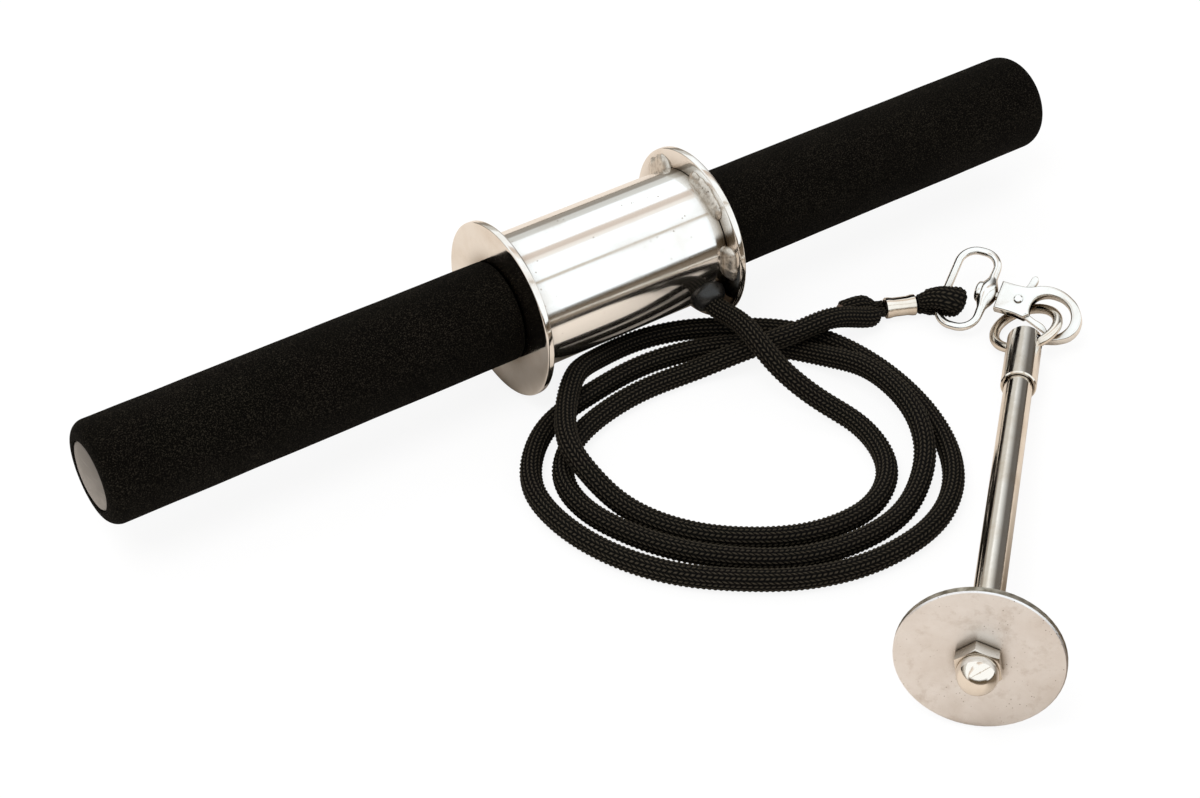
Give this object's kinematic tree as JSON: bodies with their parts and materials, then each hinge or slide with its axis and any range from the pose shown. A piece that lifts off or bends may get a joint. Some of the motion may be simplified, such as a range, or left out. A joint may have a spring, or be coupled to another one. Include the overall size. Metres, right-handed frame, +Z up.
{
  "type": "forearm trainer",
  "caption": "Two-handed wrist roller: foam grips either side of a flanged steel drum, with a braided rope to a swivel snap hook, ring and weight-loading pin with a stop disc.",
  "frame": {"origin": "on the floor, under the middle of the box round the bar, hook and loading pin", "axes": "+X along the bar towards its right end, +Y from the loading pin towards the bar, +Z up"},
  "size_m": [0.4506, 0.3084, 0.074],
  "materials": {
    "polished_steel": "polished",
    "chrome": "mirror plated",
    "bright_nickel": "bright nickel plated",
    "satin_plating": "satin plated, faintly speckled",
    "black_foam": "fine-celled black foam",
    "grey_plastic": "smooth, half matt",
    "black_rubber": "glossy black",
    "black_braid": "braided cord"
  },
  "bodies": {
    "bar": {"core_tube": "polished_steel", "grip_left": "black_foam", "grip_right": "black_foam", "end_cap_left": "grey_plastic", "end_cap_right": "grey_plastic", "drum_tube": "polished_steel", "flange_left": "chrome", "flange_right": "chrome", "rope_grommet": "black_rubber", "rope_stopper": "polished_steel", "rope": "black_braid", "rope_tail": "black_braid", "rope_eye": "black_braid", "ferrule": "polished_steel", "swivel_bow": "bright_nickel"},
    "hook": {"hook_body": "bright_nickel", "swivel_post": "bright_nickel", "trigger_pin": "bright_nickel"},
    "trigger": {"trigger": "bright_nickel"},
    "ring": {"pin_ring": "chrome"},
    "pin": {"pin_rod": "chrome", "pin_sleeve": "chrome", "load_disc": "satin_plating", "acorn_nut": "chrome"}
  },
  "joints": [
    {"name": "swivel", "type": "hinge", "parent": "bar", "child": "hook", "pos_m": [0.14646, 0.03445, 0.01291], "axis": [0.4984, -0.8667, 0.0227], "continuous": true},
    {"name": "trigger", "type": "hinge", "parent": "hook", "child": "trigger", "pos_m": [0.15103, 0.0267, 0.01317], "axis": [-0.4626, -0.2437, 0.8524], "range_deg": [0, 12], "stiffness_Nm_per_rad": 0.05, "springref_deg": -22.92},
    {"name": "ring_swing", "type": "hinge", "parent": "hook", "child": "ring", "pos_m": [0.15813, 0.01264, 0.01301], "axis": [-0.6646, 0.6401, -0.3855], "range_deg": [0, 70]},
    {"name": "pin_swing", "type": "hinge", "parent": "ring", "child": "pin", "pos_m": [0.13683, 0.00668, 0.00936], "axis": [-0.6646, 0.6401, -0.3855], "range_deg": [-90, 60]}
  ]
}
